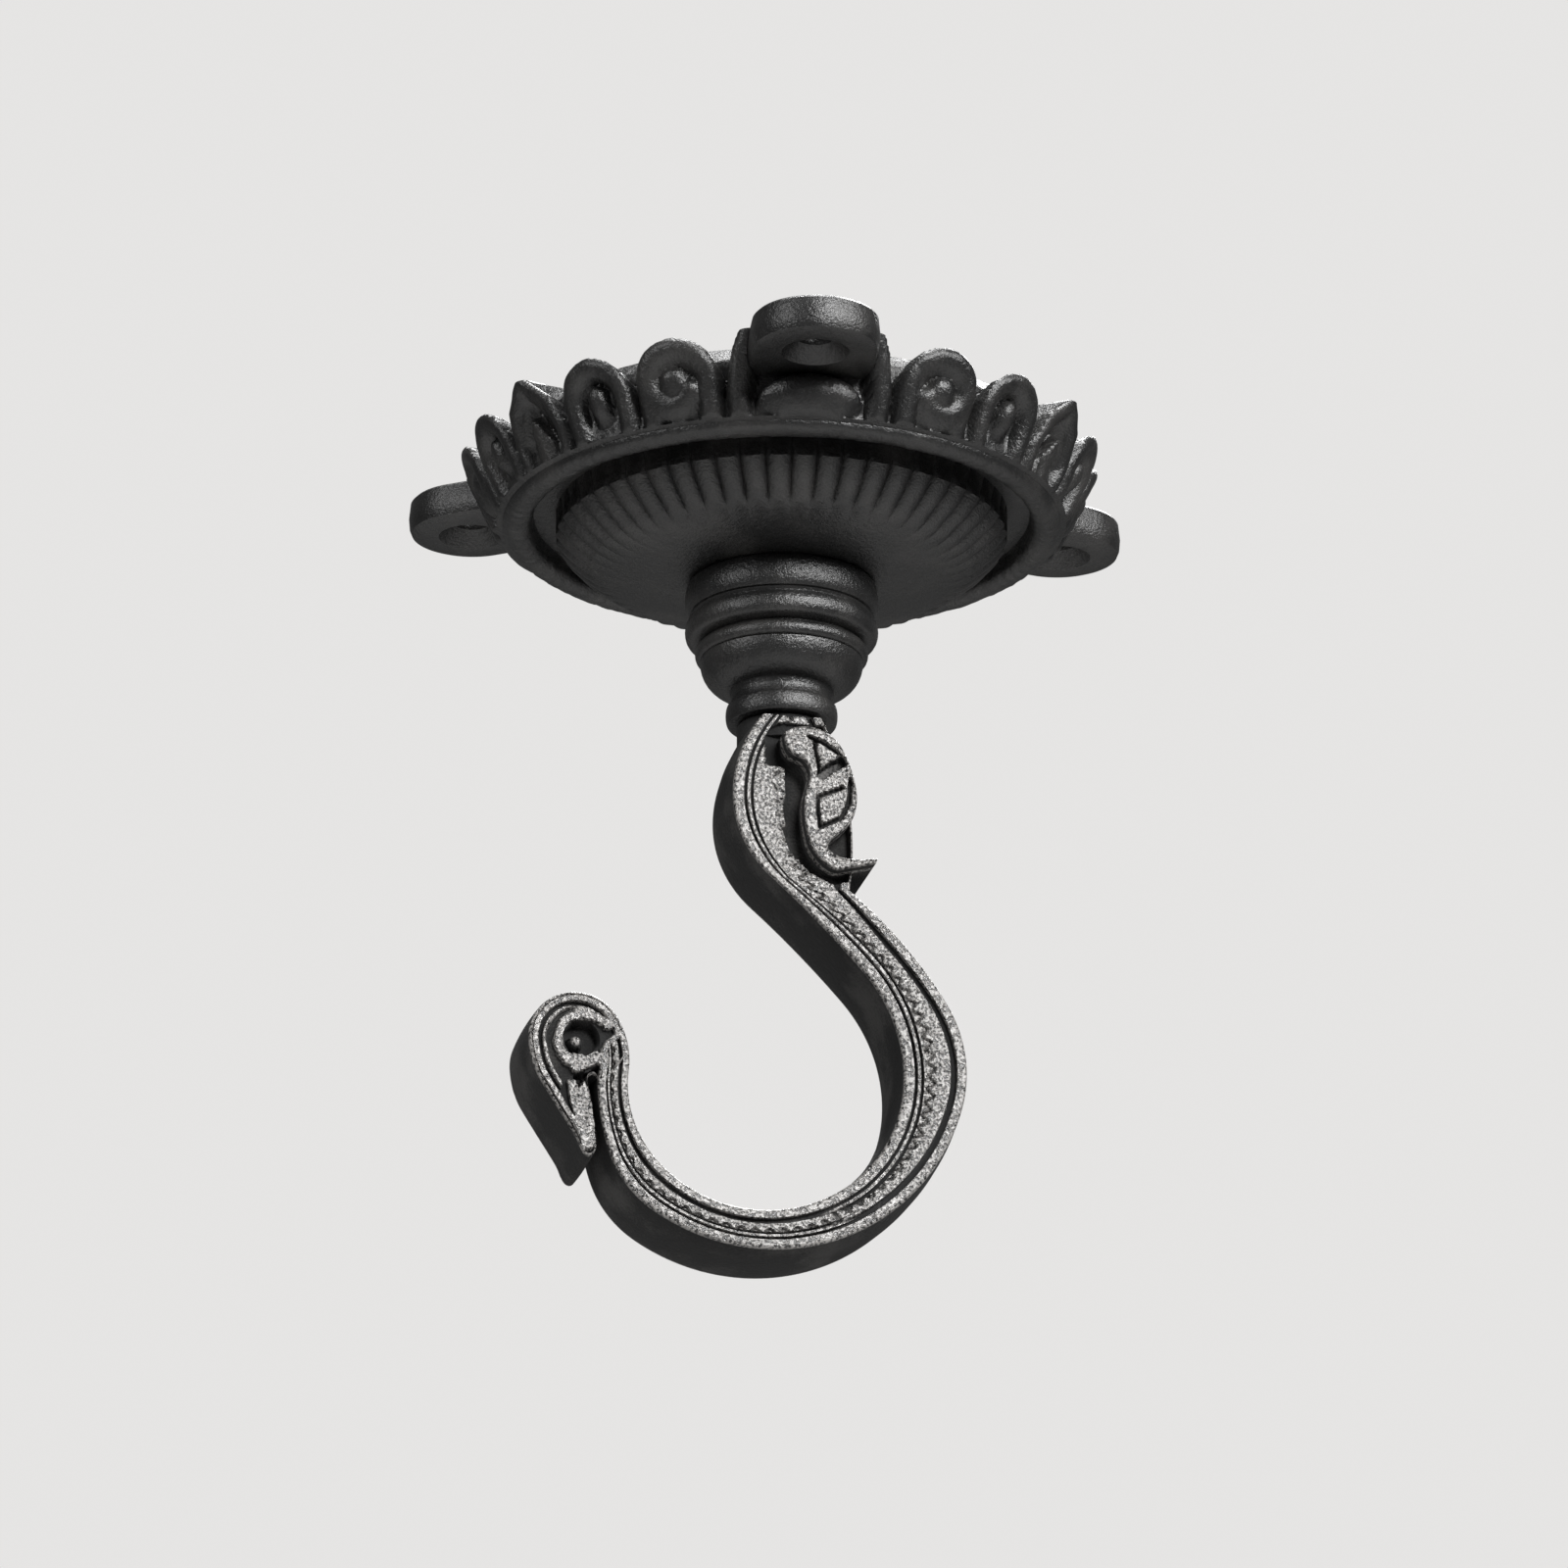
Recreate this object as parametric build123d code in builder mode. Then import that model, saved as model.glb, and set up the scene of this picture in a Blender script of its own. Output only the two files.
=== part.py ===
from build123d import *
from math import atan2, cos, degrees, radians, sin
import os

os.makedirs("parts", exist_ok=True)

# Ceiling hook, hanging down from the ceiling plane at z = 0.
# The hook's S lies in the XZ plane with its bird head towards -X.

# Canopy of the ceiling plate
ring_radius = 38.8
canopy_draft = 1.7
ring_width = 4.0
ring_bulge = 0.9
ring_drop = 11.5
groove_depth = 1.8
groove_width = 3.4
canopy_wall = 3.0
dome_edge_drop = 13.3
seat_drop = 20.3
seat_radius = 11.5
seat_thickness = 4.0
flute_count = 54
flute_radius = 1.5
flute_sides = 8
flute_sink = 0.75
flute_end_angle = 42

# Petal crown round the canopy
petal_overhang = 0.6
petal_lean = 5.2
petal_height = 10.6
rim_width = 1.5
hollow_depth = 1.5
volute_angle = 25.5
loop_angle = 43.2
leaf_petal_angle = 60.0
volute_width = 12.6
loop_width = 12.0
leaf_petal_width = 11.4
leaf_petal_groove = 1.0
volute_eye_radius = 1.5
volute_eye_side = 0.9
egg_radius = 1.7
egg_drop = 5.8
egg_height = 1.2

# Screw ears
ear_count = 3
ear_clock = 7.2
ear_pitch_radius = 48.0
ear_end_radius = 8.7
ear_thickness = 5.0
ear_edge_chamfer = 0.8
ear_root_width = 23.0
cushion_width = 16.6
cushion_bulge = 1.2
screw_hole_radius = 2.5
countersink_radius = 4.6
countersink_angle = 90

# Spool between the plate and the hook
spool_radius = 13.4
band_height = 4.7
bead_height = 3.2
bead_bulge = 1.0
bead_shoulder = 0.25
spool_groove = 0.7
small_bead_radius = 12.0
small_bead_height = 2.0
bowl_radius = 11.3
bowl_height = 4.6
spool_neck_radius = 7.2
spool_neck_height = 2.0
foot_bulge = 0.5
foot_height = 3.0

# Stud, washer and nut that draw the parts together
stud_radius = 4.0
stud_clearance = 0.3
thread_clearance = 0.05
stud_projection = 1.5
stud_chamfer = 0.8
washer_radius = 8.0
washer_thickness = 1.6
nut_across_flats = 13.0
nut_height = 6.5
nut_chamfer = 0.7

# Hook casting
hook_thickness = 14.0
hook_edge_chamfer = 0.7
shoulder_radius = 6.2
shoulder_height = 0.9
shoulder_sink = 1.5
face_rim = 1.25
panel_sink = 0.6
eye_radius = 2.4
eye_depth = 1.8
pupil_radius = 1.0
pupil_rise = 1.0
brow_radius = 4.4
brow_width = 1.2
nail_radius = 1.0
leaf_rise = 2.4
leaf_chamfer = 0.5
leaf_corner = 0.7
leaf_channel = 1.7
leaf_channel_depth = 1.8
leaf_vein = 0.8
leaf_vein_depth = 1.0

# Levels down the axis
spool_top = -seat_drop
bead_top = spool_top - band_height - spool_groove
small_bead_top = bead_top - bead_height - spool_groove
bowl_top = small_bead_top - small_bead_height
neck_top = bowl_top - bowl_height
foot_top = neck_top - spool_neck_height
spool_foot = foot_top - foot_height
hook_top = spool_foot - shoulder_height
nut_seat = -seat_drop + seat_thickness
nut_foot = nut_seat + washer_thickness
stud_top = nut_foot + nut_height + stud_projection

bore_radius = stud_radius + stud_clearance
canopy_radius = ring_radius + canopy_draft
dome_radius = ring_radius - ring_width - groove_width
groove_floor = -ring_drop + groove_depth
petal_foot = ring_radius + petal_overhang
petal_flare = petal_foot + petal_lean
crown_core = (ring_radius + canopy_radius - canopy_wall) / 2
ear_directions = [-90 - ear_clock + 360 / ear_count * i for i in range(ear_count)]


def flare_section(inset):
    """Half section of the flared cone that the petals' faces lie on."""
    with BuildSketch(Plane.XZ) as section:
        with BuildLine():
            Polyline(
                (dome_radius, 0),
                (petal_flare - inset, 0),
                (petal_foot - inset, -petal_height),
                (dome_radius, -petal_height),
                close=True,
            )
        make_face()
    return section.sketch


def pointed_arch(width, inset):
    """Leaf-shaped petal outline, foot on the ring and point at the ceiling."""
    half = width / 2 - inset
    with BuildSketch() as outline:
        with BuildLine():
            side = Line((half * 0.8, -petal_height), (half, -petal_height * 0.5))
            over = TangentArc(side @ 1, (0, -inset * 1.5), tangent=side % 1)
            mirror(side, about=Plane.YZ)
            mirror(over, about=Plane.YZ)
            Line((-half * 0.8, -petal_height), (half * 0.8, -petal_height))
        make_face()
    return outline.sketch


def round_arch(width, inset):
    """Round-headed petal outline."""
    half = width / 2 - inset
    with BuildSketch() as outline:
        with BuildLine():
            side = Line((half * 0.8, -petal_height), (half, -petal_height * 0.45))
            ThreePointArc(side @ 1, (0, -inset), (-half, -petal_height * 0.45))
            mirror(side, about=Plane.YZ)
            Line((-half * 0.8, -petal_height), (half * 0.8, -petal_height))
        make_face()
    return outline.sketch


def volute_hollow(side):
    """Curl cut into a volute: a ring round its eye, closed by a stem below."""
    reach = volute_width / 2 - rim_width
    with BuildSketch() as outline:
        with Locations((volute_eye_side * side, -reach - rim_width)):
            Circle(reach - volute_eye_side)
            Circle(volute_eye_radius, mode=Mode.SUBTRACT)
            Rectangle(
                volute_eye_radius * 1.3, reach * 2,
                align=(Align.CENTER, Align.MAX), mode=Mode.SUBTRACT,
            )
    return outline.sketch


def radial_planes(offset):
    """Upright planes that face outwards, one in each third of the plate."""
    planes = []
    for direction in ear_directions:
        turn = radians(direction + offset)
        outward = Vector(cos(turn), sin(turn), 0)
        planes.append(Plane(origin=outward * crown_core, x_dir=(-sin(turn), cos(turn), 0), z_dir=outward))
    return planes


# Petal crown: arches drawn on upright planes, trimmed to the flared cone
with BuildPart() as crown:
    for side in (-1, 1):
        with BuildSketch(*radial_planes(side * volute_angle)):
            add(round_arch(volute_width, 0))
        with BuildSketch(*radial_planes(side * loop_angle)):
            add(round_arch(loop_width, 0))
    with BuildSketch(*radial_planes(leaf_petal_angle)):
        add(pointed_arch(leaf_petal_width, 0))
    with BuildSketch(*radial_planes(0)):
        Rectangle(ear_root_width, petal_height, align=(Align.CENTER, Align.MAX))
    extrude(amount=petal_flare)
    with BuildSketch(Plane.XZ):
        add(flare_section(0))
    revolve(axis=Axis.Z, mode=Mode.INTERSECT)

# Hollows inside the petals, as deep as a smaller cone
with BuildPart() as hollows:
    for side in (-1, 1):
        with BuildSketch(*radial_planes(side * volute_angle)):
            add(volute_hollow(side))
        with BuildSketch(*radial_planes(side * loop_angle)):
            add(round_arch(loop_width, rim_width))
    with BuildSketch(*radial_planes(leaf_petal_angle)):
        add(pointed_arch(leaf_petal_width, rim_width))
        add(pointed_arch(leaf_petal_width, rim_width + leaf_petal_groove), mode=Mode.SUBTRACT)
    with BuildSketch(*radial_planes(0)):
        Rectangle(ear_root_width - 2 * rim_width, petal_height, align=(Align.CENTER, Align.MAX))
    extrude(amount=petal_flare)
    with BuildSketch(Plane.XZ):
        add(flare_section(hollow_depth))
    revolve(axis=Axis.Z, mode=Mode.SUBTRACT)

# Cushion lobes below the ears
with BuildPart() as cushions:
    with BuildSketch(*radial_planes(0)):
        with Locations((0, -petal_height)):
            Rectangle(cushion_width, petal_height - ear_thickness * 0.8, align=(Align.CENTER, Align.MIN))
    extrude(amount=petal_flare)
    with BuildSketch(Plane.XZ):
        with BuildLine():
            Polyline((dome_radius, -petal_height), (dome_radius, 0), (petal_flare, 0))
            ThreePointArc(
                (petal_flare, 0),
                ((petal_flare + petal_foot) / 2 + cushion_bulge, -petal_height * 0.6),
                (petal_foot, -petal_height),
            )
            Line((petal_foot, -petal_height), (dome_radius, -petal_height))
        make_face()
    revolve(axis=Axis.Z, mode=Mode.INTERSECT)

# One flute of the dome's steep edge, cut parallel to its slope
flute_span = radians(flute_end_angle)
dome_run = dome_radius - seat_radius
dome_rise = seat_drop - dome_edge_drop
flute_top = Vector(dome_radius, 0, -dome_edge_drop)
flute_end = Vector(seat_radius + dome_run * cos(flute_span), 0, -dome_edge_drop - dome_rise * sin(flute_span))
flute_run = flute_end - flute_top
flute_out = Vector(-flute_run.Z, 0, flute_run.X).normalized()
with BuildPart() as flute:
    with BuildSketch(Plane(
        origin=(flute_top + flute_end) / 2 + flute_out * (flute_radius - flute_sink),
        x_dir=(0, 1, 0), z_dir=flute_run,
    )):
        RegularPolygon(flute_radius, flute_sides, major_radius=False, rotation=180 / flute_sides)
    extrude(amount=flute_run.length * 0.8, both=True)

# Beads inside the round-headed petals
with BuildPart() as eggs:
    for side in (-1, 1):
        with BuildSketch(*radial_planes(side * loop_angle)):
            with Locations((0, -egg_drop)):
                Circle(egg_radius)
    extrude(amount=petal_flare - petal_lean * egg_drop / petal_height - hollow_depth + egg_height - crown_core)

# Screw ears, rounded along their lower edge
with BuildPart() as ears:
    with BuildSketch(Plane.XY):
        with PolarLocations(ear_pitch_radius, ear_count, start_angle=-90 - ear_clock):
            Circle(ear_end_radius)
            Rectangle(
                ear_pitch_radius - crown_core, 2 * ear_end_radius,
                align=(Align.MAX, Align.CENTER),
            )
    extrude(amount=-ear_thickness)
    chamfer(ears.edges().group_by(Axis.Z)[0].filter_by(GeomType.CIRCLE), ear_edge_chamfer)
    with Locations(Plane(origin=(0, 0, -ear_thickness), x_dir=(1, 0, 0), z_dir=(0, 0, -1))):
        with PolarLocations(ear_pitch_radius, ear_count, start_angle=90 + ear_clock):
            CounterSinkHole(
                screw_hole_radius, countersink_radius,
                depth=ear_thickness, counter_sink_angle=countersink_angle,
            )

# Ceiling plate: one hollow casting with its ears
with BuildPart() as ceiling_plate:
    with BuildSketch(Plane.XZ):
        with BuildLine():
            Line((bore_radius, -seat_drop), (seat_radius, -seat_drop))
            EllipticalCenterArc(
                (seat_radius, -dome_edge_drop),
                dome_run, dome_rise,
                start_angle=270, arc_size=90 - flute_end_angle,
            )
            Polyline(
                (flute_end.X, flute_end.Z),
                (dome_radius, -dome_edge_drop),
                (dome_radius, groove_floor),
                (ring_radius - ring_width, groove_floor),
                (ring_radius - ring_width, -ring_drop),
                (ring_radius - ring_width * 0.75, -ring_drop - ring_bulge),
                (ring_radius - ring_width * 0.25, -ring_drop - ring_bulge),
                (ring_radius, -ring_drop),
                (canopy_radius, 0),
                (canopy_radius - canopy_wall, 0),
                (canopy_radius - canopy_wall, groove_floor + canopy_wall),
                (dome_radius - canopy_wall, groove_floor + canopy_wall),
            )
            EllipticalCenterArc(
                (seat_radius, groove_floor + canopy_wall),
                dome_radius - canopy_wall - seat_radius, -nut_seat + groove_floor + canopy_wall,
                start_angle=270, arc_size=90,
            )
            Polyline((seat_radius, nut_seat), (bore_radius, nut_seat), (bore_radius, -seat_drop))
        make_face()
    revolve(axis=Axis.Z)
    with PolarLocations(0, flute_count):
        add(flute.part, mode=Mode.SUBTRACT)
    add(crown.part)
    add(hollows.part, mode=Mode.SUBTRACT)
    add(cushions.part)
    add(eggs.part)
    add(ears.part)
ceiling_plate.part.label = "ceiling_plate"
export_step(ceiling_plate.part, "parts/ceiling_plate.step")

# Spool: turned collar with a band, two beads, a bowl and a foot ring
def ring_profile(core, top, height):
    """Three-sided profile of a bead that stands out from a turned core."""
    return [
        (core, top),
        (core + bead_bulge, top - height * bead_shoulder),
        (core + bead_bulge, top - height * (1 - bead_shoulder)),
        (core, top - height),
    ]


band_core = spool_radius - bead_bulge
small_bead_core = small_bead_radius - bead_bulge
with BuildPart() as spool_collar:
    with BuildSketch(Plane.XZ):
        with BuildLine():
            Polyline(
                (bore_radius, spool_top),
                *ring_profile(band_core, spool_top, band_height),
                *ring_profile(band_core, bead_top, bead_height),
                (small_bead_core, bead_top - bead_height),
                *ring_profile(small_bead_core, small_bead_top, small_bead_height),
                (bowl_radius, bowl_top),
            )
            EllipticalCenterArc(
                (spool_neck_radius, bowl_top), bowl_radius - spool_neck_radius, bowl_height,
                start_angle=-90, arc_size=90,
            )
            Polyline(
                (spool_neck_radius, neck_top),
                (spool_neck_radius, foot_top),
                (spool_neck_radius + foot_bulge, foot_top - foot_height * bead_shoulder),
                (spool_neck_radius + foot_bulge, spool_foot),
                (bore_radius, spool_foot),
                (bore_radius, spool_top),
            )
        make_face()
    revolve(axis=Axis.Z)
spool_collar.part.label = "spool_collar"
export_step(spool_collar.part, "parts/spool_collar.step")

# Hook outline in the hook's own plane, measured down from its shoulder.
# It runs down the throat side, round the bird's head to the beak, and back up the outside.
hook_plane = Plane(origin=(0, 0, hook_top), x_dir=(1, 0, 0), z_dir=(0, -1, 0))
eye_place = (-29.2, -49.0)
pupil_place = (-30.3, -49.5)
beak_tip = (-28.4, -64.4)

with BuildSketch() as hook_outline:
    with BuildLine():
        brow = TangentArc((-4.2, 0), (-8.3, -12.1), tangent=(-0.62, -0.78))
        waist = TangentArc(brow @ 1, (-3.0, -23.5), tangent=brow % 1)
        slope = TangentArc(waist @ 1, (9.9, -36.3), tangent=waist % 1)
        throat_right = TangentArc(slope @ 1, (15.6, -51.7), tangent=slope % 1)
        throat_low = TangentArc(throat_right @ 1, (-4.1, -71.8), tangent=throat_right % 1)
        throat_left = TangentArc(throat_low @ 1, (-17.7, -66.8), tangent=throat_low % 1)
        nape_low = TangentArc(throat_left @ 1, (-22.7, -53.2), tangent=throat_left % 1)
        nape = TangentArc(nape_low @ 1, (-24.6, -45.3), tangent=nape_low % 1)
        head_right = TangentArc(nape @ 1, (-29.7, -42.5), tangent=nape % 1)
        head_left = TangentArc(head_right @ 1, (-36.6, -49.6), tangent=head_right % 1)
        cheek = TangentArc(head_left @ 1, (-35.5, -54.4), tangent=head_left % 1)
        beak = TangentArc(cheek @ 1, (-30.3, -64.8), tangent=cheek % 1)
        beak_end = TangentArc(beak @ 1, beak_tip, tangent=beak % 1)
        beak_inner = Line(beak_end @ 1, (-28.5, -54.8))
        notch = ThreePointArc(beak_inner @ 1, (-27.75, -54.05), (-27.0, -54.8))
        back_top = TangentArc(notch @ 1, (-25.3, -65.1), tangent=(0, -1))
        back_left = TangentArc(back_top @ 1, (-19.2, -72.9), tangent=back_top % 1)
        back_low = TangentArc(back_left @ 1, (-3.8, -77.3), tangent=back_left % 1)
        back_right = TangentArc(back_low @ 1, (12.4, -71.9), tangent=back_low % 1)
        limb_low = TangentArc(back_right @ 1, (23.9, -54.8), tangent=back_right % 1)
        limb_high = TangentArc(limb_low @ 1, (21.5, -39.9), tangent=limb_low % 1)
        rise = TangentArc(limb_high @ 1, (8.1, -24.9), tangent=limb_high % 1)
        stem = ThreePointArc(rise @ 1, (8.0, -12.0), (4.2, 0))
        Line(stem @ 1, brow @ 0)
    make_face()



def inset_outline(inset):
    """The hook's outline moved inwards all round."""
    with BuildSketch() as outline:
        add(hook_outline.sketch)
        offset(amount=-inset, kind=Kind.ARC)
    return outline.sketch


# Acanthus leaf that curls over the top of the hook and points outwards below
hook_face = hook_plane.offset(hook_thickness / 2)
leaf_face = hook_face.offset(leaf_rise)
leaf_veins = [
    ((3.2, -4.8), (5.6, -5.6)),
    ((3.8, -9.0), (6.2, -6.9)),
    ((3.4, -11.8), (6.4, -10.9)),
    ((3.6, -16.4), (6.6, -14.9)),
]

with BuildSketch() as leaf_outline:
    with BuildLine():
        leaf_top = ThreePointArc((-1.7, -3.4), (2.2, -1.9), (6.4, -4.8))
        leaf_edge = ThreePointArc(leaf_top @ 1, (7.6, -9.8), (8.2, -13.4))
        leaf_lobe = ThreePointArc(leaf_edge @ 1, (7.4, -17.0), (4.9, -19.2))
        leaf_notch = TangentArc(leaf_lobe @ 1, (11.4, -21.3), tangent=(0.9, -0.45))
        leaf_tip = ThreePointArc(leaf_notch @ 1, (5.6, -22.9), (1.7, -17.6))
        leaf_stem = ThreePointArc(leaf_tip @ 1, (0.9, -13.8), (1.6, -9.8))
        ThreePointArc(leaf_stem @ 1, (0.6, -7.2), leaf_top @ 0)
    make_face()

with BuildPart() as leaf:
    with BuildSketch(hook_plane) as leaf_sketch:
        add(leaf_outline.sketch)
        fillet(leaf_sketch.vertices(), leaf_corner)
    extrude(amount=hook_thickness / 2 + leaf_rise)
    chamfer(leaf.faces().sort_by(Axis.Y)[0].edges(), leaf_chamfer)
    with BuildSketch(leaf_face):
        for foot, head in leaf_veins:
            run = Vector(*head) - Vector(*foot)
            with Locations((Vector(*head) + Vector(*foot)) / 2):
                Rectangle(run.length, leaf_vein, rotation=degrees(atan2(run.Y, run.X)))
    extrude(amount=-leaf_vein_depth, mode=Mode.SUBTRACT)

# Hook: one casting, the same on both faces, with its stud rising from the shoulder
with BuildPart() as hook:
    with BuildSketch(hook_plane):
        add(hook_outline.sketch)
    extrude(amount=hook_thickness / 2 - hook_edge_chamfer)
    with BuildSketch(hook_face.offset(-hook_edge_chamfer)):
        add(hook_outline.sketch)
    with BuildSketch(hook_face):
        add(inset_outline(hook_edge_chamfer))
    loft(ruled=True)
    with BuildSketch(hook_face):
        add(inset_outline(face_rim))
        with Locations(eye_place):
            Circle(brow_radius, mode=Mode.SUBTRACT)
            Circle(brow_radius - brow_width)
    extrude(amount=-panel_sink, mode=Mode.SUBTRACT)
    with BuildSketch(hook_face):
        with Locations(eye_place):
            Circle(eye_radius)
    extrude(amount=-eye_depth, mode=Mode.SUBTRACT)
    with BuildSketch(hook_face.offset(-eye_depth)):
        with Locations(pupil_place):
            Circle(pupil_radius)
    extrude(amount=pupil_rise)
    with BuildSketch(hook_plane):
        with Locations(beak_tip):
            Circle(nail_radius)
    extrude(amount=hook_thickness / 2 - hook_edge_chamfer)
    with BuildSketch(hook_face):
        add(leaf_outline.sketch)
        offset(amount=leaf_channel, kind=Kind.ARC)
        add(inset_outline(face_rim), mode=Mode.INTERSECT)
    extrude(amount=-leaf_channel_depth, mode=Mode.SUBTRACT)
    add(leaf.part)
    mirror(about=Plane.XZ)
    with BuildSketch(Plane.XY.offset(hook_top - shoulder_sink)):
        Circle(shoulder_radius)
    extrude(amount=shoulder_height + shoulder_sink)
    with BuildSketch(Plane.XY.offset(spool_foot)):
        Circle(stud_radius)
    extrude(amount=stud_top - spool_foot)
    chamfer(hook.edges().sort_by(Axis.Z)[-1], stud_chamfer)
hook.part.label = "hook"
export_step(hook.part, "parts/hook.step")

# Washer on the seat inside the dome
with BuildPart() as washer:
    with BuildSketch(Plane.XY.offset(nut_seat)):
        Circle(washer_radius)
        Circle(bore_radius, mode=Mode.SUBTRACT)
    extrude(amount=washer_thickness)
washer.part.label = "washer"
export_step(washer.part, "parts/washer.step")

# Hexagon nut that clamps hook, spool and plate together
with BuildPart() as hex_nut:
    with BuildSketch(Plane.XY.offset(nut_foot)):
        RegularPolygon(nut_across_flats / 2, 6, major_radius=False)
    extrude(amount=nut_height)
    with BuildSketch(Plane.XZ):
        with BuildLine():
            Polyline(
                (0, nut_foot + nut_height),
                (nut_across_flats / 2 - nut_chamfer, nut_foot + nut_height),
                (nut_across_flats / 2 + nut_chamfer, nut_foot + nut_height - nut_chamfer),
                (nut_across_flats / 2 + nut_chamfer, nut_foot),
                (0, nut_foot),
                close=True,
            )
        make_face()
    revolve(axis=Axis.Z, mode=Mode.INTERSECT)
    with BuildSketch(Plane.XY.offset(nut_foot)):
        Circle(stud_radius + thread_clearance)
    extrude(amount=nut_height, mode=Mode.SUBTRACT)
hex_nut.part.label = "hex_nut"
export_step(hex_nut.part, "parts/hex_nut.step")
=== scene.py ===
import math

import bmesh
import bpy
import numpy as np
from mathutils import Matrix, Vector


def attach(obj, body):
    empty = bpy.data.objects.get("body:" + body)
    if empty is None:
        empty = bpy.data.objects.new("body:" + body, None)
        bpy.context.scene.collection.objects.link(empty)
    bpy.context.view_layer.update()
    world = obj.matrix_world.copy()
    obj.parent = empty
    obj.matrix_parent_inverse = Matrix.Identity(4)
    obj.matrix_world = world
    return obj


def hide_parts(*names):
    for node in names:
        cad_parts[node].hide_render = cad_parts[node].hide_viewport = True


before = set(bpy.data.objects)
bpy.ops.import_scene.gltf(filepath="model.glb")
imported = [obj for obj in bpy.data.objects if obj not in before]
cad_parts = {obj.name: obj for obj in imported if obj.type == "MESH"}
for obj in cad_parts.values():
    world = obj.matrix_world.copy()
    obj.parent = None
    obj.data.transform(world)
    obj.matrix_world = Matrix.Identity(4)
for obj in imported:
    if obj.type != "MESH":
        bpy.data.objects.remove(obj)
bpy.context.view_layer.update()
mm = 0.001  # pieces are modelled in millimetres and scaled once, when they are finished


# Shader helpers
class Signal:  # a number or colour in a shader, worked with like any number
    def __init__(self, finish, socket):
        self.finish = finish
        self.socket = socket

    def maths(self, operation, first, second):
        return self.finish.node("ShaderNodeMath", {"operation": operation}, {0: first, 1: second})

    def __add__(self, other):
        return self.maths("ADD", self, other)

    def __sub__(self, other):
        return self.maths("SUBTRACT", self, other)

    def __rsub__(self, other):
        return self.maths("SUBTRACT", other, self)

    def __mul__(self, other):
        return self.maths("MULTIPLY", self, other)

    __radd__ = __add__
    __rmul__ = __mul__


class Finish:  # the nodes of one material, or of the world
    def __init__(self, owner):
        self.owner = owner
        owner.use_nodes = True
        self.tree = owner.node_tree
        self.tree.nodes.clear()

    def plug(self, socket, value):
        if isinstance(value, Signal):
            self.tree.links.new(value.socket, socket)
        else:
            socket.default_value = value

    def node(self, kind, settings=None, inputs=None, out=0):
        made = self.tree.nodes.new(kind)
        for name, value in (settings or {}).items():
            setattr(made, name, value)
        for name, value in (inputs or {}).items():
            self.plug(made.inputs[name], value)
        return Signal(self, made.outputs[out]) if made.outputs else None

    def place(self):  # where on the object a point of its surface is
        return self.node("ShaderNodeTexCoord", out="Object")

    def noise(self, size, detail=2.0):  # grains of about this size in millimetres
        scale = 1 / (size * mm)
        return self.node("ShaderNodeTexNoise", None, {"Vector": self.place(), "Scale": scale, "Detail": detail})

    def ramp(self, value, low, high):  # 0 below low, 1 above high
        return self.node("ShaderNodeMapRange", {"interpolation_type": "SMOOTHSTEP"}, {
            "Value": value, "From Min": low, "From Max": high,
        })

    def mixColour(self, factor, first, second):
        return self.node("ShaderNodeMix", {"data_type": "RGBA"}, {0: factor, 6: first, 7: second}, 2)

    def surface(self, inputs):
        shader = self.node("ShaderNodeBsdfPrincipled", None, inputs)
        self.node("ShaderNodeOutputMaterial", None, {"Surface": shader})
        return self.owner


def greyOf(value, warmth=0.0):  # a grey, a little warm or cool
    return (value * (1 + warmth), value, value * (1 - warmth), 1)


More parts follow.
